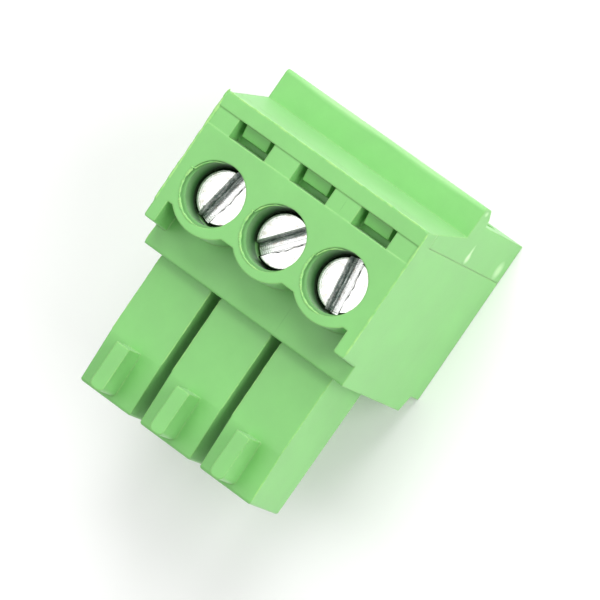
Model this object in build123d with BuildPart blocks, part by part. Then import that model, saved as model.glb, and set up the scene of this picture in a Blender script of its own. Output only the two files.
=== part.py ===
from build123d import *
import os

# Pluggable screw terminal plug with three poles.
# X runs across the poles, +Y points to the wire side, -Y to the plug side, +Z to the screw side.
# The origin lies on the bottom face, under the middle screw. All lengths are in millimetres.

# Poles
pole_count = 3
pole_pitch = 3.81

# Outer form of the body
side_margin = 2.44          # from the outer pole's axis to the side face
body_height = 11.10
body_front = 3.10           # the body's lower front face, in front of the screw axes
top_front_wall = 1.58       # the upper block's front face, in front of the screw axes
top_rear_edge = 4.38        # the upper block's rear edge, behind the screw axes
rear_drop = 0.60            # the rear edge's upright part, above the leaning rear wall
edge_round = 0.10
cut_spare = 0.5             # how far a cut runs past the face it opens

# Flange that stops the plug against its header
flange_front = 3.97
flange_drop = 1.85          # from the screw face down to the flange
flange_bottom = 1.35        # above the bottom face
flange_undercut = 0.30

# Round bosses and ears on the flange
boss_radius = 2.20
ear_width = 0.62
ear_front = 2.76
ear_rake = 0.16
ear_round = 0.12

# Plug fingers
finger_width = 3.17
finger_drop = 2.50          # from the screw face down to the finger
finger_height = 3.95        # at the tip
finger_draft = 0.25         # the underside drops this much towards the body
finger_reach = 11.15        # from the screw axes to the finger's tip
nose_length = 2.80
nose_drop = 0.26
finger_round = 0.14

# Coding ribs on the fingers
rib_width = 0.80
rib_length = 2.45
rib_height = 1.40
rib_round = 0.30
rib_setback = 0.24          # from the finger's tip back to the rib

# Screw wells, clamp chambers and contact cavities
well_radius = 1.56
rim_radius = 1.63
rim_depth = 0.12
rim_shift = (-0.13, -0.10)  # the shallow rim recess stands off centre and leaves a crescent
chamber_width = 3.00
chamber_front = 1.55
floor_thickness = 1.00
chamber_height = 7.30
cavity_width = 2.10
cavity_height = 2.80
tip_wall = 0.75
pin_slot = 1.50
pin_lead_in = 0.28

# Joint between the housing and the rear cover
joint_y = 3.70
joint_gap = 0.012
bar_thickness = 1.14        # the housing's latch bar over the cover

# Latch windows and hooks
window_width = 2.20
window_front = 2.57
window_rear = 3.55
window_depth = 1.20
band_depth = 0.04           # shallow band across the top that joins the windows
channel_depth = 0.95        # channel for the hook's arm, under the window's floor
hook_width = 1.50
hook_length = 0.60          # the hook's nose, along Y
hook_sink = 0.28            # the hook's top under the screw face
hook_slope = 0.22
hook_clearance = 0.03
latch_gap = 0.015           # between the hook's nose and the bar it catches

# Rear cover
ledge_height = 6.70
ledge_front = 4.98
ledge_rear = 6.65
lip_height = 0.65
lip_bevel = 0.45
ledge_round = 0.22
cover_rear = 5.82
lip_root_drop = 1.25

# Wire entries
wire_height = 2.75
wire_radius = 1.20
funnel_width = 3.00
funnel_height = 3.30
funnel_depth = 1.45
funnel_taper = 13.0
funnel_round = 0.85
sleeve_top = 4.65
sleeve_front = 1.80
sleeve_clearance = 0.06

# Clamp cage
cage_width = 2.80
cage_length = 2.90
cage_side = 0.40
cage_bottom = 0.60
cage_top = 1.50
cage_clearance = 0.05
cage_round = 0.32
cage_travel = 1.60

# Contact
wire_gap = 1.80             # between the open cage's floor and the bar
bar_width = 1.80
bar_height = 0.80
bar_rear = 1.62
fork_back = 2.70
fork_root = 4.10
fork_arm = 0.55
fork_reach = 10.15
fork_grip = 9.35
fork_opening = 1.20
grip_opening = 0.62
mouth_opening = 1.15
mouth_arm = 0.38            # the fork's arm, thinned at the mouth
bar_slot_clearance = 0.12

# Clamp screw
screw_radius = 1.00
thread_clearance = 0.05
head_radius = 1.44
head_height = 1.20
head_sink = 1.00
head_edge = 0.12
slot_width = 0.78
slot_depth = 0.60
slot_angles = (79.0, 48.0, 98.0)
tip_gap = 0.03
tip_chamfer = 0.25

# Derived places
pole_places = [pole_pitch * (i - (pole_count - 1) / 2) for i in range(pole_count)]
half_width = pole_places[-1] + side_margin
body_width = 2 * half_width
flange_top = body_height - flange_drop
finger_top = body_height - finger_drop
finger_bottom = finger_top - finger_height
finger_middle = (finger_top + finger_bottom) / 2
chamber_top = floor_thickness + chamber_height
chamber_rear = joint_y - joint_gap / 2
cover_front = joint_y + joint_gap / 2
bar_underside = body_height - bar_thickness
window_floor = body_height - window_depth
channel_floor = window_floor - channel_depth
nose_rear = window_rear - latch_gap
nose_front = nose_rear - hook_length
channel_front = nose_front - hook_clearance
cage_rest = floor_thickness + cage_clearance
cage_floor = cage_rest + cage_bottom
bar_bottom = cage_floor + wire_gap
bar_top = bar_bottom + bar_height
cage_height = cage_bottom + wire_gap + bar_height + cage_travel / 2 + cage_top
screw_tip = bar_top + tip_gap
head_top = body_height - head_sink
head_bottom = head_top - head_height
lean = (ledge_front - top_rear_edge) / (body_height - rear_drop - ledge_height)


# Rear face of the upper block: how far behind the screw axes its leaning part lies at a height
def rear_face(height):
    return top_rear_edge + lean * (body_height - rear_drop - height)


# Housing: body, flange, bosses, ears and plug fingers in one moulding
with BuildPart() as housing:
    with BuildSketch(Plane.YZ.offset(-half_width)):
        with BuildLine():
            Polyline(
                (-body_front, 0),
                (chamber_rear, 0),
                (chamber_rear, bar_underside),
                (rear_face(bar_underside), bar_underside),
                (top_rear_edge, body_height - rear_drop),
                (top_rear_edge, body_height),
                (-top_front_wall, body_height),
                (-top_front_wall, flange_top),
                (-flange_front, flange_top),
                (-flange_front, flange_bottom),
                (-body_front, flange_bottom - flange_undercut),
                close=True,
            )
        make_face()
    extrude(amount=body_width)

    # round boss about each screw well
    with BuildSketch(Plane.XY.offset(flange_top)):
        with Locations(*[(x, 0) for x in pole_places]):
            Circle(boss_radius)
    extrude(amount=flange_drop)

    # ear at each end of the flange
    for side in (-half_width, half_width - ear_width):
        with BuildSketch(Plane.YZ.offset(side)):
            with BuildLine():
                Polyline(
                    (0, flange_top),
                    (-ear_front - ear_rake, flange_top),
                    (-ear_front, body_height),
                    (0, body_height),
                    close=True,
                )
            make_face()
        extrude(amount=ear_width)
    ear_edges = housing.edges().filter_by(
        lambda edge: -ear_front - ear_rake < edge.center().Y < -ear_front
        and flange_top < edge.center().Z < body_height
        and edge.length > flange_drop / 2
    )
    fillet(ear_edges, ear_round)

    # outer edges that run across the body are slightly rounded
    ends = [
        (-flange_front, flange_top),
        (-flange_front, flange_bottom),
        (-body_front, 0),
        (top_rear_edge, body_height),
    ]
    rounded = [
        edge
        for edge in housing.edges().filter_by(Axis.X)
        for y, z in ends
        if abs(edge.center().Y - y) < 0.01 and abs(edge.center().Z - z) < 0.01
    ]
    fillet(rounded, edge_round)

    # plug fingers with a sloping nose
    for x in pole_places:
        with BuildSketch(Plane.YZ.offset(x - finger_width / 2)):
            with BuildLine():
                Polyline(
                    (-body_front, finger_bottom - finger_draft),
                    (-finger_reach, finger_bottom),
                    (-finger_reach, finger_top - nose_drop),
                    (-finger_reach + nose_length, finger_top),
                    (-body_front, finger_top),
                    close=True,
                )
            make_face()
        extrude(amount=finger_width)
    nose_edges = housing.edges().filter_by(
        lambda edge: edge.center().Y < -flange_front - 0.01
        and edge.center().Z > finger_bottom - 0.01
    )
    fillet(nose_edges.filter_by_position(Axis.Y, -finger_reach - 1, -finger_reach + 0.01), finger_round)

    # coding ribs, rounded at the front
    with BuildSketch(Plane.XY.offset(finger_middle)):
        rib_middle = -finger_reach + rib_setback + rib_length / 2
        with Locations(*[(x, rib_middle) for x in pole_places]):
            Rectangle(rib_width, rib_length)
        front_corners = [v for v in vertices() if v.Y < rib_middle]
        fillet(front_corners, rib_round)
    extrude(amount=finger_top + rib_height - finger_middle)

    # screw wells from the top, open into the clamp chambers
    with BuildSketch(Plane.XY.offset(body_height)):
        with Locations(*[(x, 0) for x in pole_places]):
            Circle(well_radius)
    extrude(amount=chamber_top - cut_spare - body_height, mode=Mode.SUBTRACT)

    # shallow recess about each well's mouth
    with BuildSketch(Plane.XY.offset(body_height)):
        with Locations(*[(x + rim_shift[0], rim_shift[1]) for x in pole_places]):
            Circle(rim_radius)
    extrude(amount=-rim_depth, mode=Mode.SUBTRACT)

    # clamp chambers, open towards the rear cover
    with BuildSketch(Plane.XY.offset(floor_thickness)):
        with Locations(*[(x, (chamber_rear - chamber_front) / 2) for x in pole_places]):
            Rectangle(chamber_width, chamber_rear + chamber_front)
    extrude(amount=chamber_height, mode=Mode.SUBTRACT)

    # cavity for each fork, slot for its bar and square pin entry at the tip
    cavity_tip = finger_reach - tip_wall
    bar_slot_bottom = bar_bottom - bar_slot_clearance
    for x in pole_places:
        with BuildSketch(Plane.XZ.offset(chamber_front - cut_spare)):
            with Locations((x, finger_middle)):
                Rectangle(cavity_width, cavity_height)
        extrude(amount=cavity_tip - chamber_front + cut_spare, mode=Mode.SUBTRACT)
        with BuildSketch(Plane.XZ.offset(chamber_front - cut_spare)):
            with Locations((x, (bar_slot_bottom + finger_middle) / 2)):
                Rectangle(bar_width + 2 * bar_slot_clearance, finger_middle - bar_slot_bottom)
        extrude(amount=fork_back + bar_height - chamber_front + cut_spare, mode=Mode.SUBTRACT)
        with BuildSketch(Plane.XZ.offset(finger_reach)):
            with Locations((x, finger_middle)):
                Rectangle(pin_slot, pin_slot)
        extrude(amount=-tip_wall - cut_spare, mode=Mode.SUBTRACT)
    mouth_edges = housing.edges().filter_by_position(
        Axis.Y, -finger_reach - 0.01, -finger_reach + 0.01
    ).filter_by(lambda edge: abs(edge.length - pin_slot) < 0.01)
    chamfer(mouth_edges, pin_lead_in)

    # latch windows in the top, the shallow band that joins them and the channels for the hooks
    window_middle = (window_front + window_rear) / 2
    window_length = window_rear - window_front
    with BuildSketch(Plane.XY.offset(body_height)):
        with Locations(*[(x, window_middle) for x in pole_places]):
            Rectangle(window_width, window_length)
    extrude(amount=-window_depth, mode=Mode.SUBTRACT)
    with BuildSketch(Plane.XY.offset(body_height)):
        with Locations((0, window_middle)):
            Rectangle(body_width + cut_spare, window_length)
    extrude(amount=-band_depth, mode=Mode.SUBTRACT)
    channel_length = chamber_rear - channel_front
    with BuildSketch(Plane.XY.offset(channel_floor)):
        with Locations(*[(x, channel_front + channel_length / 2) for x in pole_places]):
            Rectangle(hook_width + 2 * hook_clearance, channel_length)
    extrude(amount=bar_underside - channel_floor, mode=Mode.SUBTRACT)
housing.part.label = "housing"

# Rear cover: ledge, wire entries, sleeves into the chambers and latch hooks
hook_bottom = channel_floor + hook_clearance
sleeve_width = chamber_width - 2 * sleeve_clearance
with BuildPart() as rear_cover:
    cover_top = bar_underside - joint_gap
    with BuildSketch(Plane.YZ.offset(-half_width)) as cover_profile:
        with BuildLine():
            Polyline(
                (cover_front, 0),
                (cover_rear, 0),
                (cover_rear, ledge_height - lip_root_drop),
                (ledge_rear - lip_bevel, ledge_height - lip_height - lip_bevel),
                (ledge_rear, ledge_height - lip_height),
                (ledge_rear, ledge_height),
                (ledge_front, ledge_height),
                (rear_face(cover_top), cover_top),
                (cover_front, cover_top),
                close=True,
            )
        make_face()
        corners = cover_profile.vertices()
        fillet(corners.filter_by(lambda v: abs(v.X - ledge_rear) < 0.01), ledge_round)
        fillet(corners.filter_by(lambda v: abs(v.X - ledge_front) < 0.01), edge_round)
    extrude(amount=body_width)

    # sleeves that lead each wire into its cage
    with BuildSketch(Plane.XZ.offset(-cover_front)):
        with Locations(*[(x, (cage_rest + sleeve_top) / 2) for x in pole_places]):
            Rectangle(sleeve_width, sleeve_top - cage_rest)
    extrude(amount=cover_front - sleeve_front)

    # funnels and wire bores
    for x in pole_places:
        with BuildSketch(Plane.XZ.offset(-cover_rear)):
            with Locations((x, wire_height)):
                RectangleRounded(funnel_width, funnel_height, funnel_round)
        extrude(amount=funnel_depth, taper=funnel_taper, mode=Mode.SUBTRACT)
    with BuildSketch(Plane.XZ.offset(-cover_rear)):
        with Locations(*[(x, wire_height) for x in pole_places]):
            Circle(wire_radius)
    extrude(amount=cover_rear - sleeve_front + cut_spare, mode=Mode.SUBTRACT)

    # hooks: an arm under the latch bar and a sloping nose that stands up in the window and catches the bar
    for x in pole_places:
        with BuildSketch(Plane.YZ.offset(x - hook_width / 2)):
            with BuildLine():
                Polyline(
                    (cover_front, hook_bottom),
                    (nose_front, hook_bottom),
                    (nose_front, body_height - hook_sink - hook_slope),
                    (nose_rear, body_height - hook_sink),
                    (nose_rear, window_floor),
                    (cover_front, window_floor),
                    close=True,
                )
            make_face()
        extrude(amount=hook_width)
rear_cover.part.label = "rear_cover"


# Slotted captive screw
def make_screw(x, slot_angle):
    with BuildPart() as screw:
        with BuildSketch(Plane.XZ):
            with BuildLine():
                Polyline(
                    (0, screw_tip),
                    (screw_radius - tip_chamfer, screw_tip),
                    (screw_radius, screw_tip + tip_chamfer),
                    (screw_radius, head_bottom),
                    (head_radius, head_bottom),
                    (head_radius, head_top - head_edge),
                    (head_radius - head_edge, head_top),
                    (0, head_top),
                    close=True,
                )
            make_face()
        revolve(axis=Axis.Z)
        with BuildSketch(Plane.XY.offset(head_top)):
            Rectangle(2 * head_radius + cut_spare, slot_width, rotation=slot_angle)
        extrude(amount=-slot_depth, mode=Mode.SUBTRACT)
    return screw.part.moved(Location((x, 0, 0)))


# Clamp cage: a closed box with a tapped top, shown fully open
def make_cage(x):
    with BuildPart() as cage:
        with BuildSketch(Plane.XZ.offset(-cage_length / 2)):
            with Locations((0, cage_rest + cage_height / 2)):
                RectangleRounded(cage_width, cage_height, cage_round)
            inside = cage_height - cage_bottom - cage_top
            with Locations((0, cage_floor + inside / 2)):
                RectangleRounded(cage_width - 2 * cage_side, inside, cage_round / 2, mode=Mode.SUBTRACT)
        extrude(amount=cage_length)
        with BuildSketch(Plane.XY.offset(cage_rest + cage_height)):
            Circle(screw_radius + thread_clearance)
        extrude(amount=-cage_top - cut_spare, mode=Mode.SUBTRACT)
    return cage.part.moved(Location((x, 0, 0)))


# Contact: a clamping bar that steps up into a fork for the header's pin
def make_contact(x):
    half_open = fork_opening / 2
    half_grip = grip_opening / 2
    half_mouth = mouth_opening / 2
    with BuildPart() as contact:
        with BuildSketch(Plane.YZ.offset(-bar_width / 2)):
            with BuildLine():
                upper = [
                    (-fork_root, half_open),
                    (-fork_grip, half_grip),
                    (-fork_reach, half_mouth),
                    (-fork_reach, half_mouth + mouth_arm),
                    (-fork_grip, half_grip + fork_arm),
                    (-fork_root, half_open + fork_arm),
                ]
                riser_rear = -fork_back + bar_height / 2
                Polyline(
                    (bar_rear, bar_bottom),
                    (bar_rear, bar_top),
                    (riser_rear, bar_top),
                    (riser_rear, finger_middle + half_open + fork_arm),
                    *[(y, finger_middle + z) for y, z in reversed(upper)],
                    *[(y, finger_middle - z) for y, z in upper],
                    (-fork_back - bar_height / 2, finger_middle - half_open - fork_arm),
                    (-fork_back - bar_height / 2, bar_bottom),
                    close=True,
                )
            make_face()
        extrude(amount=bar_width)
    return contact.part.moved(Location((x, 0, 0)))


pieces = [housing.part, rear_cover.part]
for number, (x, slot_angle) in enumerate(zip(pole_places, slot_angles), start=1):
    for name, piece in (
        ("screw", make_screw(x, slot_angle)),
        ("clamp_cage", make_cage(x)),
        ("contact", make_contact(x)),
    ):
        piece.label = f"{name}_{number}"
        pieces.append(piece)

os.makedirs("parts", exist_ok=True)
for piece in pieces:
    export_step(piece, f"parts/{piece.label}.step")
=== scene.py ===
import math

import bmesh
import bpy
import numpy as np
from mathutils import Matrix, Vector


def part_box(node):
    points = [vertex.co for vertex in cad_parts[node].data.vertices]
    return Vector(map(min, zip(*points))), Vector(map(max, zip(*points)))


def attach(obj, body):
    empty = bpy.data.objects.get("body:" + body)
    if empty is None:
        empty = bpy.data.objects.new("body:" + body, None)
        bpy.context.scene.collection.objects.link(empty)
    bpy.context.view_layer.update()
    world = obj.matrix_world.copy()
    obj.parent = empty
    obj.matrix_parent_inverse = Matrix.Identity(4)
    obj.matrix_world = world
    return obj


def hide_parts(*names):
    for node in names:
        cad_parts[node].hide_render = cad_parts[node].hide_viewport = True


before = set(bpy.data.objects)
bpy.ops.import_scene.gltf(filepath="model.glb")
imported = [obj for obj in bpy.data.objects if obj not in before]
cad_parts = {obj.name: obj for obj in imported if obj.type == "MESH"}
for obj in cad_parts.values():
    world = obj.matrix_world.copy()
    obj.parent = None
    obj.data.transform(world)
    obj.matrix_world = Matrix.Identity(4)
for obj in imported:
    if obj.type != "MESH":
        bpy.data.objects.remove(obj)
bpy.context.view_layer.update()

# Pluggable terminal block with three poles: X runs across the poles, +Y to the wires and +Z to the
# screws. Each dictionary holds values that one may change and stands beside the code that uses it.
mm = 0.001
poleCount = 3
screwBoxes = [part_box(f"screw_{i}") for i in range(1, poleCount + 1)]
poleAxes = [((low.x + high.x) / 2, (low.y + high.y) / 2) for low, high in screwBoxes]
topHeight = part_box("housing")[1].z


def newMaterial(name):
    material = bpy.data.materials.new(name)
    material.use_nodes = True
    material.node_tree.nodes.clear()
    return material, material.node_tree


def isSocket(value):
    return isinstance(value, bpy.types.NodeSocket)


def addNode(tree, kind, inputs=None, **settings):
    node = tree.nodes.new(kind)
    for key, value in settings.items():
        setattr(node, key, value)
    for key, value in (inputs or {}).items():
        if isSocket(value):
            tree.links.new(value, node.inputs[key])
        else:
            node.inputs[key].default_value = value
    return node


def ramp(tree, factor, low, high, fromLow=0.0, fromHigh=1.0):
    # straight-line change of a value from one range to another
    node = addNode(tree, "ShaderNodeMapRange", {
        "Value": factor, "From Min": fromLow, "From Max": fromHigh, "To Min": low, "To Max": high})
    return node.outputs["Result"]


def mixColour(tree, factor, first, second):
    # inputs 6 and 7 and output 2 are the node's colours
    first, second = (c if isSocket(c) else (*c, 1) for c in (first, second))
    inputs = {0: factor, 6: first, 7: second}
    return addNode(tree, "ShaderNodeMix", inputs, data_type="RGBA").outputs[2]


def maths(tree, operation, first, second=0.0):
    inputs = {0: first, 1: second}
    return addNode(tree, "ShaderNodeMath", inputs, operation=operation).outputs[0]


def vectorMaths(tree, operation, first, second):
    inputs = {0: first, 1: second}
    return addNode(tree, "ShaderNodeVectorMath", inputs, operation=operation).outputs


def lengthOf(tree, vector):
    node = addNode(tree, "ShaderNodeVectorMath", {0: vector}, operation="LENGTH")
    return node.outputs["Value"]


def noise(tree, place, size, detail, roughness):
    node = addNode(tree, "ShaderNodeTexNoise", {
        "Vector": place, "Scale": 1.0 / size, "Detail": detail, "Roughness": roughness})
    return node.outputs["Fac"]


def patches(tree, place, kind, span, low=0.0, high=1.0):
    # noise of this kind, turned into a mask that goes from low to high over the span
    return ramp(tree, noise(tree, place, *kind), low, high, *span)


def bumped(tree, height, distance, normal):
    node = addNode(tree, "ShaderNodeBump", {
        "Height": height, "Distance": distance, "Normal": normal})
    return node.outputs["Normal"]


def shifted(tree, place, shift=(0.0, 0.0, 0.0), turn=0.0, scale=(1.0, 1.0, 1.0)):
    # moves the place by shift, then turns it about Z, then scales it
    for key, value in (("Location", shift), ("Rotation", (0, 0, turn)), ("Scale", scale)):
        place = addNode(tree, "ShaderNodeMapping", {"Vector": place, key: value}).outputs["Vector"]
    return place


def spotMask(tree, place, middle, half, core):
    # soft oval spot: the length of (place - middle) / half, 1 within its core and 0 at its edge
    offset = vectorMaths(tree, "SUBTRACT", place, middle)[0]
    share = vectorMaths(tree, "DIVIDE", offset, half)[0]
    return ramp(tree, lengthOf(tree, share), 1.0, 0.0, core, 1.0)


def edgeMask(tree, radius, lean=(0.72, 0.985)):
    # near an edge the rounded normal leans away from the true one: lean is the cosine between them
    rounded = addNode(tree, "ShaderNodeBevel", {"Radius": radius}, samples=6).outputs["Normal"]
    true = addNode(tree, "ShaderNodeNewGeometry").outputs["Normal"]
    cosine = vectorMaths(tree, "DOT_PRODUCT", rounded, true)["Value"]
    return ramp(tree, cosine, 1.0, 0.0, *lean), rounded


def finishMaterial(tree, inputs):
    shader = addNode(tree, "ShaderNodeBsdfPrincipled", inputs)
    output = addNode(tree, "ShaderNodeOutputMaterial")
    tree.links.new(shader.outputs["BSDF"], output.inputs["Surface"])


# In the materials' dictionaries a noise is (size, detail, roughness), and a Span says between
# which values of its source a mask rises.

# Moulded green plastic
plastic = {
    "base": (0.190, 0.535, 0.135),
    "light": (0.212, 0.575, 0.155),
    "deep": (0.175, 0.500, 0.122),
    "flashAndEdgeHighlight": (0.34, 0.68, 0.20),
    "paintedHighlight": (0.62, 0.86, 0.50),
    "paintedShadeAndSeam": (0.085, 0.300, 0.065),
    "clouds": (2.6 * mm, 4.0, 0.55),
    "cloudSpan": (0.3, 0.7),
    "grain": (0.07 * mm, 2.0, 0.6),
    "grainSpan": (0.35, 0.75),
    "grainAmount": 0.22,
    "grainHeight": 0.0035 * mm,
    "waves": (1.4 * mm, 2.0, 0.5),
    "waveHeight": 0.010 * mm,
    "edgeRadius": 0.12 * mm,
    "edgeAmount": 1.0,
    "edgeBreaks": (0.9 * mm, 3.0, 0.6),
    "breakSpan": (0.35, 0.62),
    "breakLow": 0.25,
    "roughness": (0.42, 0.56),
    "ior": 1.53,
    "specular": 0.85,
    "sheen": 0.20,
    "sheenRoughness": 0.45,
    "subsurface": 0.16,
    "subsurfaceScale": 0.45 * mm,
    "subsurfaceRadius": (0.6, 1.0, 0.45),
    "markCore": 0.35,
    # painted highlights, painted shade and two dark seam lines: middle and half sizes in mm, and
    # how far each turns light (above 0) or dark
    "highlightShadeAndSeamSpots": (
        ((6.25, 4.34, 5.20), (0.05, 0.58, 0.16), 0.65),
        ((6.25, 4.10, 5.16), (0.05, 0.34, 0.30), 0.70),
        ((6.25, 4.25, 0.90), (0.05, 0.58, 0.46), 0.60),
        ((6.25, 3.80, 5.42), (0.05, 0.06, 0.22), -0.30),
        ((6.25, 6.38, 6.30), (0.06, 0.16, 0.22), 0.60),
        ((-2.60, 6.62, 6.60), (3.80, 0.34, 0.34), 0.30),
        ((2.80, 6.62, 6.60), (3.80, 0.34, 0.34), 0.22),
        ((-5.95, -1.98, 10.10), (0.42, 0.50, 0.95), -0.55),
        ((1.905, 3.06, 11.08), (0.016, 0.50, 0.10), -0.50),
        ((1.905, -3.00, 9.25), (0.014, 0.95, 0.05), -0.45),
    ),
}

# Each well's lip, a ring a little off the screw's axis, with painted shade inside the ring, and
# painted shade on the wall below it that darkens towards the screw
wellLip = {
    "shift": (-0.13 * mm, -0.10 * mm),
    "radius": 1.645 * mm,
    "fade": 0.08 * mm,
    "lipDepth": (0.01 * mm, 0.03 * mm),
    "lipShade": 0.85,
    "wallRadius": (1.80 * mm, 1.84 * mm),
    "wallDepth": (0.05 * mm, 0.98 * mm),
    "wallShade": (0.36, 0.95),
    "wallEnd": (1.3 * mm, 1.4 * mm),
    "edgeFade": 0.4,
    "paintedWallShade": (0.003, 0.115, 0.003),
}


def shadeWells(tree, place, colour, edge, look, lip):
    # painted shade: the lip is darkened inside its ring of flash, and the wall is painted darker
    # towards the screw
    level = addNode(tree, "ShaderNodeSeparateXYZ", {"Vector": place}).outputs[2]
    depth = maths(tree, "SUBTRACT", topHeight, level)
    onTop = ramp(tree, depth, lip["lipShade"], 0.0, *lip["lipDepth"])
    below = ramp(tree, depth, 0.0, 1.0, *lip["lipDepth"])
    aboveEnd = ramp(tree, depth, 1.0, 0.0, *lip["wallEnd"])
    sunk = ramp(tree, depth, *lip["wallShade"], *lip["wallDepth"])
    inWell = maths(tree, "MULTIPLY", maths(tree, "MULTIPLY", sunk, below), aboveEnd)
    shiftX, shiftY = lip["shift"]
    for x, y in poleAxes:
        fromAxis = shifted(tree, place, (-x - shiftX, -y - shiftY, 0.0), scale=(1.0, 1.0, 0.0))
        reach = lengthOf(tree, fromAxis)
        ring = ramp(tree, reach, 1.0, 0.0, lip["radius"] - lip["fade"], lip["radius"])
        ring = maths(tree, "MULTIPLY", ring, onTop)
        wall = ramp(tree, reach, 1.0, 0.0, *lip["wallRadius"])
        wall = maths(tree, "MULTIPLY", wall, inWell)
        # painted shade on the lip inside the ring, and on the wall deep in the well
        colour = mixColour(tree, ring, colour, look["paintedShadeAndSeam"])
        colour = mixColour(tree, wall, colour, lip["paintedWallShade"])
        shaded = maths(tree, "MAXIMUM", ring, wall)
        edge = maths(tree, "MULTIPLY", edge, ramp(tree, shaded, 1.0, 0.0, 0.0, lip["edgeFade"]))
    return colour, edge


def plasticMaterial(name, look, lip):
    material, tree = newMaterial(name)
    place = addNode(tree, "ShaderNodeTexCoord").outputs["Object"]
    clouds = noise(tree, place, *look["clouds"])
    grain = noise(tree, place, *look["grain"])
    waves = noise(tree, place, *look["waves"])
    mask, rounded = edgeMask(tree, look["edgeRadius"])
    # the edges are painted lighter, partly for thin flash and partly as a painted highlight,
    # broken up in patches
    broken = patches(tree, place, look["edgeBreaks"], look["breakSpan"], look["breakLow"])
    edge = maths(tree, "MULTIPLY", maths(tree, "MULTIPLY", mask, broken), look["edgeAmount"])
    cloudy = ramp(tree, clouds, 0.0, 1.0, *look["cloudSpan"])
    body = mixColour(tree, cloudy, look["deep"], look["light"])
    grainy = ramp(tree, grain, 0.0, look["grainAmount"], *look["grainSpan"])
    colour = mixColour(tree, grainy, body, look["base"])
    # light spots are painted highlights on the cover's side and rear lip; dark spots are painted
    # shade, except the two thin seam lines at x 1.905
    for middle, half, amount in look["highlightShadeAndSeamSpots"]:
        spot = spotMask(tree, place, Vector(middle) * mm, Vector(half) * mm, look["markCore"])
        strength = maths(tree, "MULTIPLY", spot, abs(amount))
        colour = mixColour(tree, strength, colour, look["paintedHighlight"] if amount > 0 else look["paintedShadeAndSeam"])
    colour, edge = shadeWells(tree, place, colour, edge, look, lip)
    colour = mixColour(tree, edge, colour, look["flashAndEdgeHighlight"])
    roughness = ramp(tree, clouds, *look["roughness"], *look["cloudSpan"])
    wavy = bumped(tree, waves, look["waveHeight"], rounded)
    finishMaterial(tree, {
        "Base Color": colour, "Roughness": roughness,
        "Normal": bumped(tree, grain, look["grainHeight"], wavy),
        "IOR": look["ior"], "Specular IOR Level": look["specular"],
        "Sheen Weight": look["sheen"], "Sheen Roughness": look["sheenRoughness"],
        "Subsurface Weight": look["subsurface"], "Subsurface Scale": look["subsurfaceScale"],
        "Subsurface Radius": look["subsurfaceRadius"]})
    return material


# Thin flash lets light through, so it is lighter and yellower than the body
flashPlastic = {
    "colour": (0.34, 0.66, 0.20),
    "patches": (0.35 * mm, 3.0, 0.6),
    "patchSpan": (0.35, 0.60),
    "grain": (0.05 * mm, 2.0, 0.6),
    "grainHeight": 0.004 * mm,
    "edgeRadius": 0.01 * mm,
    "edgeAmount": 0.4,
    "roughness": (0.35, 0.55),
    "ior": 1.53,
    "sheen": 0.2,
    "sheenRoughness": 0.5,
}


def flashMaterial(name, look, body):
    material, tree = newMaterial(name)
    place = addNode(tree, "ShaderNodeTexCoord").outputs["Object"]
    patchy = patches(tree, place, look["patches"], look["patchSpan"])
    grain = noise(tree, place, *look["grain"])
    mask, rounded = edgeMask(tree, look["edgeRadius"])
    colour = mixColour(tree, patchy, body["light"], look["colour"])
    worn = maths(tree, "MULTIPLY", mask, look["edgeAmount"])
    finishMaterial(tree, {
        "Base Color": mixColour(tree, worn, colour, look["colour"]),
        "Roughness": ramp(tree, grain, *look["roughness"]),
        "Normal": bumped(tree, grain, look["grainHeight"], rounded),
        "IOR": look["ior"],
        "Sheen Weight": look["sheen"], "Sheen Roughness": look["sheenRoughness"]})
    return material


# Zinc-plated screw. Places in the slot are measured across it from its middle
screwMetal = {
    "base": (0.84, 0.84, 0.825),
    "highlightAndWear": (0.96, 0.96, 0.95),
    "stain": (0.52, 0.48, 0.40),
    "slotShade": (0.16, 0.22, 0.20),
    "rust": (0.42, 0.33, 0.22),
    "darkLineAndRimShade": (0.02, 0.025, 0.022),
    "roughness": (0.20, 0.38),
    "roughSpan": (0.3, 0.7),
    "edgeRadius": 0.03 * mm,
    "edgeAmount": 0.35,
    "ringPitch": 0.10 * mm,
    "ringHeight": 0.0012 * mm,
    "scratches": (0.35 * mm, 5.0, 0.7),
    "scratchTurn": 0.9,
    "scratchThin": (1.0, 9.0, 1.0),
    "scratchHeight": 0.0045 * mm,
    "stains": (0.36 * mm, 4.0, 0.6),
    "stainSpan": (0.51, 0.68),
    "stainAmount": 0.75,
    "slotLevels": (-0.09 * mm, -0.035 * mm),
    "slotFade": 0.02 * mm,
    "streaks": (0.60 * mm, 4.0, 0.7),
    "streakThin": (1.0, 20.0, 1.0),
    "streakSpan": (0.44, 0.64),
    "streakAmount": 0.85,
    "streakHeight": 0.0063 * mm,
    "shadePlace": (0.17 * mm, 0.21 * mm),
    "shadeStray": 0.09 * mm,
    "straySpan": (0.3, 0.7),
    "rustPlace": 0.18 * mm,
    "rustReach": 0.08 * mm,
    "rustPatches": (0.20 * mm, 3.0, 0.5),
    "rustSpan": (0.50, 0.62),
    "rustAmount": 0.8,
    "lineInset": 0.020 * mm,
    "lineWidth": (0.016 * mm, 0.042 * mm),
    "lineStray": 0.16 * mm,
    "lineDrift": (1.10 * mm, 2.0, 0.5),
    "driftSpan": (0.35, 0.7),
    "lineBreaks": (0.60 * mm, 2.0, 0.5),
    "breakSpan": (0.38, 0.55),
    "breakLow": 0.15,
    "rimShadeRadius": (1.295 * mm, 1.355 * mm),
}


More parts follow.
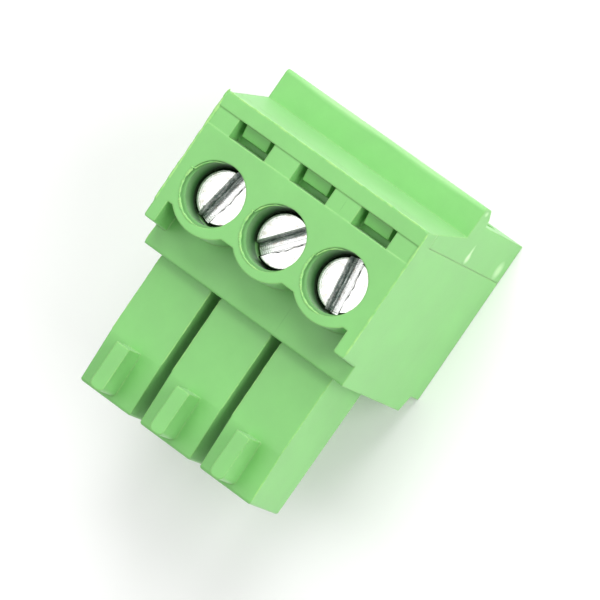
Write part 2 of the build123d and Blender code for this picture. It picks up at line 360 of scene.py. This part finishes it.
def slotFloor(tree, local, across, streaks, look):
    # painted shade by the wall that faces the light side, where the floor lies in the wall's
    # shadow, a painted highlight on the rest, and rusty where they meet
    stray = ramp(tree, streaks, -look["shadeStray"], look["shadeStray"], *look["straySpan"])
    ragged = maths(tree, "ADD", across, stray)
    inShade = ramp(tree, ragged, 0.0, 1.0, *look["shadePlace"])
    streaky = ramp(tree, streaks, 0.0, look["streakAmount"], *look["streakSpan"])
    floor = mixColour(tree, inShade, look["highlightAndWear"],
                      mixColour(tree, streaky, look["slotShade"], look["base"]))
    fromBorder = maths(tree, "ABSOLUTE", maths(tree, "SUBTRACT", ragged, look["rustPlace"]))
    spots = patches(tree, local, look["rustPatches"], look["rustSpan"], 0.0, look["rustAmount"])
    nearBorder = ramp(tree, fromBorder, 1.0, 0.0, 0.0, look["rustReach"])
    return mixColour(tree, maths(tree, "MULTIPLY", nearBorder, spots), floor, look["rust"])


def slotLine(tree, local, flat, across, half, look):
    # thin broken line along the slot's other edge
    stray = patches(tree, flat, look["lineDrift"], look["driftSpan"], 0.0, look["lineStray"])
    strayed = maths(tree, "ADD", across, stray)
    offLine = maths(tree, "ABSOLUTE", maths(tree, "ADD", strayed, half - look["lineInset"]))
    line = ramp(tree, offLine, 1.0, 0.0, *look["lineWidth"])
    breaks = patches(tree, local, look["lineBreaks"], look["breakSpan"], look["breakLow"])
    return maths(tree, "MULTIPLY", line, breaks)


def screwMaterial(name, look, half, axis, top, turn):
    # local X runs along the slot, local Y across it, and Z is the height over the screw's face
    material, tree = newMaterial(name)
    place = addNode(tree, "ShaderNodeTexCoord").outputs["Object"]
    local = shifted(tree, place, (-axis[0], -axis[1], -top), -turn)
    _, across, height = addNode(tree, "ShaderNodeSeparateXYZ", {"Vector": local}).outputs
    flat = shifted(tree, local, scale=(1.0, 1.0, 0.0))
    distance = lengthOf(tree, flat)
    rings = maths(tree, "SINE", maths(tree, "MULTIPLY", distance, 2 * math.pi / look["ringPitch"]))
    streaks = noise(tree, shifted(tree, local, scale=look["streakThin"]), *look["streaks"])
    crossed = shifted(tree, local, turn=look["scratchTurn"], scale=look["scratchThin"])
    scratches = noise(tree, crossed, *look["scratches"])
    mask, rounded = edgeMask(tree, look["edgeRadius"])
    stained = patches(tree, local, look["stains"], look["stainSpan"], 0.0, look["stainAmount"])
    face = mixColour(tree, stained, look["base"], look["stain"])

    deep = ramp(tree, height, 1.0, 0.0, *look["slotLevels"])
    offMiddle = maths(tree, "ABSOLUTE", across)
    nearMiddle = ramp(tree, offMiddle, 1.0, 0.0, half, half + look["slotFade"])
    inSlot = maths(tree, "MULTIPLY", deep, nearMiddle)
    colour = mixColour(tree, inSlot, face, slotFloor(tree, local, across, streaks, look))
    line = slotLine(tree, local, flat, across, half, look)
    colour = mixColour(tree, line, colour, look["darkLineAndRimShade"])
    worn = maths(tree, "MULTIPLY", mask, look["edgeAmount"])
    colour = mixColour(tree, worn, colour, look["highlightAndWear"])
    # painted shade on the head's rounded rim, where it borders the dark gap to the well
    rim = ramp(tree, distance, 0.0, 1.0, *look["rimShadeRadius"])
    rim = maths(tree, "MULTIPLY", rim, maths(tree, "SUBTRACT", 1.0, inSlot))
    colour = mixColour(tree, rim, colour, look["darkLineAndRimShade"])

    turned = bumped(tree, rings, look["ringHeight"], rounded)
    streaky = bumped(tree, maths(tree, "MULTIPLY", streaks, inSlot), look["streakHeight"], turned)
    finishMaterial(tree, {
        "Base Color": colour, "Metallic": 1.0,
        "Roughness": ramp(tree, scratches, *look["roughness"], *look["roughSpan"]),
        "Normal": bumped(tree, scratches, look["scratchHeight"], streaky)})
    return material


# Stamped and plated inner metal
cageMetal = {
    "base": (0.72, 0.70, 0.64),
    "worn": (0.86, 0.84, 0.78),
    "stain": (0.45, 0.42, 0.36),
    "roughness": (0.22, 0.42),
    "grain": (0.05 * mm, 3.0, 0.6),
    "grainHeight": 0.003 * mm,
    "grainStretch": (1.0, 1.0, 8.0),
}
contactMetal = {
    "base": (0.74, 0.73, 0.70),
    "worn": (0.88, 0.87, 0.84),
    "stain": (0.52, 0.50, 0.46),
    "roughness": (0.28, 0.50),
    "grain": (0.06 * mm, 3.0, 0.6),
    "grainHeight": 0.0025 * mm,
    "grainStretch": (1.0, 9.0, 1.0),
}
# What both metals share
plating = {
    "grainSpan": (0.3, 0.7),
    "stains": (0.6 * mm, 4.0, 0.6),
    "stainSpan": (0.50, 0.78),
    "stainAmount": 0.7,
    "edgeRadius": 0.05 * mm,
    "edgeAmount": 0.7,
}


def stampedMaterial(name, look, shared):
    material, tree = newMaterial(name)
    place = addNode(tree, "ShaderNodeTexCoord").outputs["Object"]
    stretched = shifted(tree, place, scale=tuple(1 / s for s in look["grainStretch"]))
    rolled = noise(tree, stretched, *look["grain"])
    stained = patches(
        tree, place, shared["stains"], shared["stainSpan"], 0.0, shared["stainAmount"])
    mask, rounded = edgeMask(tree, shared["edgeRadius"])
    colour = mixColour(tree, stained, look["base"], look["stain"])
    worn = maths(tree, "MULTIPLY", mask, shared["edgeAmount"])
    finishMaterial(tree, {
        "Base Color": mixColour(tree, worn, colour, look["worn"]), "Metallic": 1.0,
        "Normal": bumped(tree, rolled, look["grainHeight"], rounded),
        "Roughness": ramp(tree, rolled, *look["roughness"], *shared["grainSpan"])})
    return material


def dress(node, material):
    # the CAD node keeps its mesh and takes one material
    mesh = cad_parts[node].data
    mesh.materials.clear()
    mesh.materials.append(material)


def newPiece(name, points, faces, material, body, sharpness):
    mesh = bpy.data.meshes.new(name)
    mesh.from_pydata([tuple(p) for p in points], [], [tuple(int(i) for i in f) for f in faces])
    work = bmesh.new()
    work.from_mesh(mesh)
    bmesh.ops.recalc_face_normals(work, faces=work.faces)
    work.to_mesh(mesh)
    work.free()
    mesh.shade_smooth()
    mesh.set_sharp_from_angle(angle=math.radians(sharpness))
    mesh.materials.append(material)
    piece = bpy.data.objects.new(name, mesh)
    bpy.context.scene.collection.objects.link(piece)
    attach(piece, body)
    return piece


def wobble(lengths, seed, waves):
    # uneven line between -1 and 1: the mean of sines with these waves to the millimetre
    phases = np.random.default_rng(seed).uniform(0, 2 * np.pi, len(waves))
    sines = [np.sin(2 * np.pi * wave * lengths + phase) for wave, phase in zip(waves, phases)]
    return np.mean(sines, axis=0)


def varied(rule, slow, fast):
    # mean + slowShare * slow + fastShare * fast, kept between the least and the most
    mean, slowShare, fastShare, least, most = rule
    return np.clip(mean + slowShare * slow + fastShare * fast, least, most)


def endTaper(count, share):
    # grows from a twentieth to 1 over the first and last share of the line
    place = np.linspace(0, 1, count)
    return np.clip(np.minimum(place, 1 - place) / share, 0.05, 1.0)


def sweepBead(name, path, aside, lift, widths, heights, material):
    # point(i, k) = path(i) + aside(i) * widths(i) * cos(k) + lift(i) * heights(i) * sin(k)
    sides = 8
    turns = np.linspace(0, 2 * np.pi, sides + 1)[:-1]
    rings = (path[:, None, :]
             + aside[:, None, :] * (widths[:, None] * np.cos(turns))[..., None]
             + lift[:, None, :] * (heights[:, None] * np.sin(turns))[..., None])
    count = len(path)
    rows = np.arange(count - 1)[:, None] * sides
    here, beside = rows + np.arange(sides), rows + (np.arange(sides) + 1) % sides
    faces = np.stack([here, beside, beside + sides, here + sides], axis=-1).reshape(-1, 4).tolist()
    faces.append(range(sides))
    faces.append(range((count - 1) * sides, count * sides))
    points = rings.reshape(-1, 3) * mm
    return newPiece(name, points, faces, material, "housing", sharpness=60.0)


# Flash along straight edges: thin uneven beads where the moulds part. Sizes in mm
edgeFlash = {
    "step": 0.05,
    "taper": 0.02,
    "slowWaves": (0.27, 0.61, 1.3),
    "fastWaves": (2.3, 4.7, 8.3),
    # mean, share of the slow waves, share of the fast ones, least, most
    "widthRule": (0.85, 0.30, 0.12, 0.2, 1.2),
    "heightRule": (0.90, 0.0, 0.15, 0.35, 1.2),
    # each finger's two top edges: half its width, then front, rear and height, and the first seed
    "fingerHalf": 1.585,
    "fingerEdge": (-4.05, -8.28, 8.590),
    "fingerReach": 0.030,
    "fingerSeed": 60,
    # start, end, way outward, how far it stands out, how thick it is, seed
    "edges": {
        "leftTopFlash": (
            (-6.25, 4.34, 11.070), (-6.25, -1.93, 11.070), (-1, 0, 0), 0.080, 0.050, 4),
        "rightTopFlash": (
            (6.25, 4.30, 11.085), (6.25, -2.62, 11.085), (1, 0, 0), 0.055, 0.034, 9),
        "rightNoseFlash": (
            (5.395, -8.36, 8.586), (5.395, -10.95, 8.348), (1, 0, 0), 0.030, 0.018, 17),
        "leftFlangeFlash": (
            (-6.25, -3.10, 9.236), (-6.25, -3.85, 9.236), (-1, 0, 0), 0.040, 0.024, 21),
        "rearTopFlash": (
            (-6.20, 4.330, 11.060), (6.20, 4.330, 11.060), (0, 1, 0), 0.070, 0.050, 26),
        "cornerFlash": (
            (-6.27, 4.20, 11.080), (-6.20, 4.47, 11.095), (-1, 0, 0), 0.055, 0.040, 33),
    },
}


def addEdgeFlash(look, material):
    front, rear, height = look["fingerEdge"]
    reach = look["fingerReach"]
    edges = dict(look["edges"])
    for number, (x, _) in enumerate(poleAxes, start=1):
        for side, word in ((-1, "left"), (1, "right")):
            place = x / mm + side * look["fingerHalf"]
            edges[f"{word}FingerFlash_{number}"] = (
                (place, front, height), (place, rear, height), (side, 0, 0),
                reach, reach / 2, look["fingerSeed"] + 2 * number + side)
    for name, (start, end, outward, reach, thick, seed) in edges.items():
        start, end = np.array(start), np.array(end)
        span = np.linalg.norm(end - start)
        count = int(span / look["step"]) + 2
        share = np.linspace(0, 1, count)
        path = start + (end - start) * share[:, None]
        slow = wobble(share * span, seed, look["slowWaves"])
        fast = wobble(share * span, seed + 1, look["fastWaves"])
        taper = endTaper(count, look["taper"])
        widths = reach * varied(look["widthRule"], slow, fast) * taper
        heights = thick * varied(look["heightRule"], slow, fast) * taper
        aside = np.tile(np.array(outward, float), (count, 1))
        lift = np.cross((end - start) / span, aside)
        lift *= np.sign(lift[:, 2:3])
        sweepBead(name, path, aside, lift, widths, heights, material)


# Flash round each well: a bead on part of the lip's ring. Sizes in mm, angles in degrees
rimFlash = {
    "arc": (100.0, 286.0),
    "step": 1.0,
    "taper": 0.12,
    "slowWaves": (0.5, 1.1, 2.3),
    "fastWaves": (3.3, 5.9, 8.8),
    "slowSeed": 30,
    "fastSeed": 40,
    "stray": 0.008,
    "width": 0.200,
    "height": 0.045,
    # mean, share of the slow waves, share of the fast ones, least, most
    "widthRule": (0.62, 0.30, 0.0, 0.2, 1.1),
    "heightRule": (0.75, 0.0, 0.4, 0.3, 1.1),
    # the notch's angle, how far the ring steps inward there, and over which angle it does
    "notch": 163.0,
    "notchStep": 0.085,
    "notchBlend": 1.2,
    "thinning": 0.5,
    "spurReach": 0.11,
    "spurWidth": 1.7,
    "spurShift": 0.5,
}


def addRimFlash(look, lip, material):
    for number, (x, y) in enumerate(poleAxes, start=1):
        angles = np.radians(np.arange(*look["arc"], look["step"]))
        lengths = angles * lip["radius"] / mm
        slow = wobble(lengths, look["slowSeed"] + number, look["slowWaves"])
        fast = wobble(lengths, look["fastSeed"] + number, look["fastWaves"])
        # at the notch a small spur points outward, and before it the ring lies further in and is
        # thinner
        fromNotch = np.degrees(angles) - look["notch"]
        inward = 1 / (1 + np.exp(fromNotch / look["notchBlend"]))
        spur = np.exp(-((fromNotch + look["spurShift"]) / look["spurWidth"]) ** 2)
        radius = lip["radius"] / mm - look["notchStep"] * inward
        radius = radius + look["spurReach"] * spur + look["stray"] * fast
        taper = endTaper(len(angles), look["taper"])
        thinned = look["width"] * (1 - look["thinning"] * inward)
        widths = thinned * varied(look["widthRule"], slow, fast) * taper / 2
        heights = look["height"] * varied(look["heightRule"], slow, fast) * taper
        aside = np.stack([np.cos(angles), np.sin(angles), 0 * angles], axis=-1)
        middle = np.array([x + lip["shift"][0], y + lip["shift"][1], topHeight]) / mm
        path = middle + aside * radius[:, None]
        lift = np.tile([0.0, 0.0, 1.0], (len(angles), 1))
        sweepBead(f"rimFlash_{number}", path, aside, lift, widths, heights, material)


# Slotted screw with its thread. Sizes in mm, angles in degrees
screwShape = {
    "headRound": 0.16,
    "headHeight": 1.20,
    "sideRows": (0.35, 0.7, 1.0),
    "underRound": 0.05,
    "underRadius": 1.18,
    "faceLines": 13,
    "floorLines": 7,
    "rows": 80,
    "slotAngles": (79.0, 48.0, 98.0),
    "slotWidth": 0.73,
    "slotDepth": 0.68,
    "slotChamfer": 0.030,
    "slotCorner": 0.10,
    "cornerAngles": (25, 50, 75),
    "wallLean": 0.012,
    "faceGap": 0.10,
    "faceStep": 0.05,
    "floorWobble": 0.012,
    "floorWaves": (2.3, 5.1, 8.7),
    "burrHeight": 0.018,
    "burrWaves": (1.1, 2.9, 5.3),
    "shankRadius": 1.00,
    "shankGap": 0.01,
    "ringStep": 0.04,
    "threadPitch": 0.40,
    "threadDepth": 0.22,
    "threadSlope": 2.6,
    "threadRoot": 0.12,
    "threadStart": 0.15,
    "threadRunIn": 0.3,
    "tipRadius": 0.75,
    "tipRound": 0.04,
    "firstSeed": 50,
    "sharpness": 35.0,
}
# two places closer than this are taken as the same, in mm
sameWithin = 0.01


def slotLines(shape, outer, seed):
    # lines along the slot: the head's face, the chamfered edge, the wall, its hollow corner and
    # the floor, then the same back to the other side. Each is (place across the slot, depth)
    half, lip = shape["slotWidth"] / 2, shape["slotChamfer"]
    corner, depth, lean = shape["slotCorner"], shape["slotDepth"], shape["wallLean"]
    bend = np.linspace(0, math.acos((half + lip + shape["faceGap"]) / outer), shape["faceLines"])
    lines = [(-outer * c, 0.0) for c in np.cos(bend)]
    lines += [(-half - lip - shape["faceStep"], 0.0), (-half - lip, 0.0)]
    lines += [(-half, lip), (-half + lean, depth - corner)]
    for q in np.radians(shape["cornerAngles"]):
        lines.append((-half + lean + corner * (1 - math.cos(q)),
                      depth - corner + corner * math.sin(q)))
    floorHalf = half - lean - corner
    lines += [(u, depth) for u in np.linspace(-floorHalf, 0, shape["floorLines"])]
    lines += [(-u, d) for u, d in reversed(lines[:-1])]
    across, sunk = np.array(lines).T
    uneven = shape["floorWobble"] * wobble(across, seed, shape["floorWaves"])
    return across, sunk + np.where(sunk > depth - sameWithin, uneven, 0)


def headGrid(shape, outer, seed):
    # surface(u, t) = (u, sin(t) * sqrt(outer^2 - u^2)), so the rows close up at the head's edge
    across, sunk = slotLines(shape, outer, seed)
    spread = np.sin(np.linspace(-np.pi / 2, np.pi / 2, shape["rows"] + 1))
    u = np.repeat(across[1:-1, None], len(spread), axis=1)
    v = spread[None, :] * np.sqrt(outer ** 2 - u ** 2)
    distance = np.minimum(np.hypot(u, v), outer)
    rounding = shape["headRound"]
    edge = np.clip((distance - outer + rounding) / rounding, 0, 1)
    drop = rounding * (1 - np.sqrt(1 - edge ** 2))
    sink = np.maximum(drop, np.repeat(sunk[1:-1, None], len(spread), axis=1))
    # burrs stand on the slot's edges, torn up and down along it
    offEdge = np.abs(np.abs(u) - shape["slotWidth"] / 2 - shape["slotChamfer"])
    torn = np.clip(wobble(v, seed + 7, shape["burrWaves"]), 0, 1) * (1 - edge)
    sink = sink - np.where(offEdge < sameWithin, shape["burrHeight"] * torn, 0)
    return np.stack([u, v, -sink], axis=-1)


def shankRings(shape, outer, end, theta, loopTop):
    # rings from the head's edge down to the tip: (radius, height under the face)
    under = -shape["headHeight"]
    flat = np.ones_like(theta)
    side = under + shape["underRound"] - loopTop
    rings = [(outer * flat, loopTop + side * share) for share in shape["sideRows"]]
    for radius in (outer - shape["underRound"], shape["underRadius"]):
        rings.append((radius * flat, under * flat))
    for z in np.arange(under - shape["shankGap"], end, -shape["ringStep"]):
        # right-hand thread: crest where z / pitch - angle / full turn is a whole number and a half
        phase = np.mod(z / shape["threadPitch"] - theta / (2 * np.pi), 1)
        crest = shape["threadSlope"] * (0.5 - np.abs(phase - 0.5)) - shape["threadRoot"]
        fade = np.clip((under - z - shape["threadStart"]) / shape["threadRunIn"], 0, 1)
        cut = shape["threadDepth"] * (1 - np.clip(crest, 0, 1) * fade)
        radius = np.minimum(shape["shankRadius"] - cut, shape["tipRadius"] + z - end)
        rings.append((radius, z * flat))
    rings.append(((shape["tipRadius"] - shape["tipRound"]) * flat, end * flat))
    return rings


def screwSurface(shape, box, angle, seed):
    low, high = (np.array(corner) / mm for corner in box)
    centre = (low + high) / 2
    top, end, outer = high[2], low[2] - high[2], (high[0] - low[0]) / 2

    # the head's face: its two ends, then the grid
    grid = headGrid(shape, outer, seed)
    columns, rows = grid.shape[:2]
    ends = np.array([[-outer, 0, -shape["headRound"]], [outer, 0, -shape["headRound"]]])
    head = np.concatenate([ends, grid.reshape(-1, 3)])
    index = len(ends) + np.arange(columns * rows).reshape(columns, rows)
    quads = np.stack([index[:-1, :-1], index[1:, :-1], index[1:, 1:], index[:-1, 1:]], axis=-1)
    faces = quads.reshape(-1, 4).tolist()
    faces += [(0, index[0, j], index[0, j + 1]) for j in range(rows - 1)]
    faces += [(1, index[-1, j + 1], index[-1, j]) for j in range(rows - 1)]

    # the loop round the face carries the rings below it
    loop = np.concatenate([[0], index[:, 0], [1], index[::-1, -1]])
    theta = np.arctan2(head[loop, 1], head[loop, 0])
    rings = shankRings(shape, outer, end, theta, head[loop, 2])
    points = [head]
    points += [np.stack([r * np.cos(theta), r * np.sin(theta), z], axis=-1) for r, z in rings]
    points.append(np.array([[0, 0, end]]))
    previous = loop
    for number in range(len(rings)):
        current = len(head) + number * len(theta) + np.arange(len(theta))
        quads = np.stack([previous, current, np.roll(current, -1), np.roll(previous, -1)], axis=-1)
        faces += quads.tolist()
        previous = current
    last = len(head) + len(rings) * len(theta)
    faces += [(last, b, a) for a, b in zip(previous, np.roll(previous, -1))]

    # u points across the slot and v along it
    u, v, height = np.concatenate(points).T
    turn = math.radians(angle)
    x = centre[0] + u * math.sin(turn) + v * math.cos(turn)
    y = centre[1] - u * math.cos(turn) + v * math.sin(turn)
    return np.stack([x, y, top + height], axis=-1) * mm, faces


green = plasticMaterial("greenPolyamide", plastic, wellLip)
for node in ("housing", "rear_cover"):
    dress(node, green)
cageFinish = stampedMaterial("nickelPlate", cageMetal, plating)
contactFinish = stampedMaterial("tinPlate", contactMetal, plating)
for number in range(1, poleCount + 1):
    dress(f"clamp_cage_{number}", cageFinish)
    dress(f"contact_{number}", contactFinish)
print("materials given")

slotHalf = screwShape["slotWidth"] * mm / 2
for number, (box, axis, angle) in enumerate(
        zip(screwBoxes, poleAxes, screwShape["slotAngles"]), start=1):
    points, faces = screwSurface(screwShape, box, angle, screwShape["firstSeed"] + number)
    metal = screwMaterial(
        f"screwZinc_{number}", screwMetal, slotHalf, axis, box[1].z, math.radians(angle))
    detail = newPiece(
        f"screwDetail_{number}", points, faces, metal, f"screw_{number}",
        screwShape["sharpness"])
    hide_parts(f"screw_{number}")
print("screws built")

thinGreen = flashMaterial("thinFlash", flashPlastic, plastic)
addEdgeFlash(edgeFlash, thinGreen)
addRimFlash(rimFlash, wellLip, thinGreen)
print("flash built")


# Camera: angles round the target, and its focal length in pixels of the square picture
cameraView = {
    "azimuth": 100.2026,
    "elevation": 67.3998,
    "roll": -65.1733,
    "distance": 315.175 * mm,
    "target": Vector((1.5285, -1.9341, 8.0)) * mm,
    "focalPixels": 6668.6,
    "picturePixels": 600,
    "sensorWidth": 36.0,
    "clip": (0.01, 10.0),
}


def placeCamera(look):
    azimuth, elevation, roll = (math.radians(look[k]) for k in ("azimuth", "elevation", "roll"))
    back = Vector((
        math.sin(azimuth) * math.cos(elevation),
        -math.cos(azimuth) * math.cos(elevation),
        math.sin(elevation)))
    level = (-back).cross(Vector((0, 0, 1))).normalized()
    above = level.cross(-back)
    right = level * math.cos(roll) + above * math.sin(roll)
    up = back.cross(right)
    data = bpy.data.cameras.new("camera")
    data.sensor_width = look["sensorWidth"]
    data.lens = data.sensor_width * look["focalPixels"] / look["picturePixels"]
    data.clip_start, data.clip_end = look["clip"]
    camera = bpy.data.objects.new("camera", data)
    bpy.context.scene.collection.objects.link(camera)
    turn = Matrix((right, up, back)).transposed().to_4x4()
    camera.matrix_world = Matrix.Translation(look["target"] + back * look["distance"]) @ turn
    bpy.context.scene.camera = camera


# Studio: pale floor, soft world light and soft lamps
studio = {
    "floorColour": (0.95, 0.95, 0.945),
    "floorRoughness": 0.9,
    "floorSpecular": 0.1,
    "floorGlow": 0.03,
    "floorSize": 3.0,
    "floorDrop": 0.02 * mm,
    "worldColour": (1.0, 1.0, 1.0),
    "worldStrength": 0.46,
    # direction it stands in, distance, size, power
    "lamps": {
        "mainBox": ((-0.08, 0.77, 0.63), 0.6, 0.50, 2.55),
        "topCard": ((-0.38, -0.07, 0.92), 0.6, 0.40, 0.62),
        "sideBox": ((0.80, 0.25, 0.50), 0.6, 0.50, 2.15),
    },
}


def buildStudio(look):
    half = look["floorSize"] / 2
    level = -look["floorDrop"]
    corners = [(x * half, y * half, level) for x, y in ((-1, -1), (1, -1), (1, 1), (-1, 1))]
    mesh = bpy.data.meshes.new("floor")
    mesh.from_pydata(corners, [], [(0, 1, 2, 3)])
    floor = bpy.data.objects.new("floor", mesh)
    bpy.context.scene.collection.objects.link(floor)
    material, tree = newMaterial("floorPaper")
    finishMaterial(tree, {
        "Base Color": (*look["floorColour"], 1), "Roughness": look["floorRoughness"],
        "Specular IOR Level": look["floorSpecular"],
        "Emission Color": (1, 1, 1, 1), "Emission Strength": look["floorGlow"]})
    mesh.materials.append(material)
    world = bpy.data.worlds.new("studioWorld")
    world.use_nodes = True
    background = world.node_tree.nodes["Background"]
    background.inputs["Color"].default_value = (*look["worldColour"], 1)
    background.inputs["Strength"].default_value = look["worldStrength"]
    bpy.context.scene.world = world
    for name, (direction, distance, size, power) in look["lamps"].items():
        data = bpy.data.lights.new(name, "AREA")
        data.shape = "DISK"
        data.size = size
        data.energy = power
        lamp = bpy.data.objects.new(name, data)
        bpy.context.scene.collection.objects.link(lamp)
        towards = Vector(direction).normalized()
        lamp.location = towards * distance
        lamp.rotation_mode = "QUATERNION"
        lamp.rotation_quaternion = towards.to_track_quat("Z", "Y")
    bpy.context.scene.view_settings.view_transform = "Standard"


placeCamera(cameraView)
buildStudio(studio)
print("camera and studio placed")
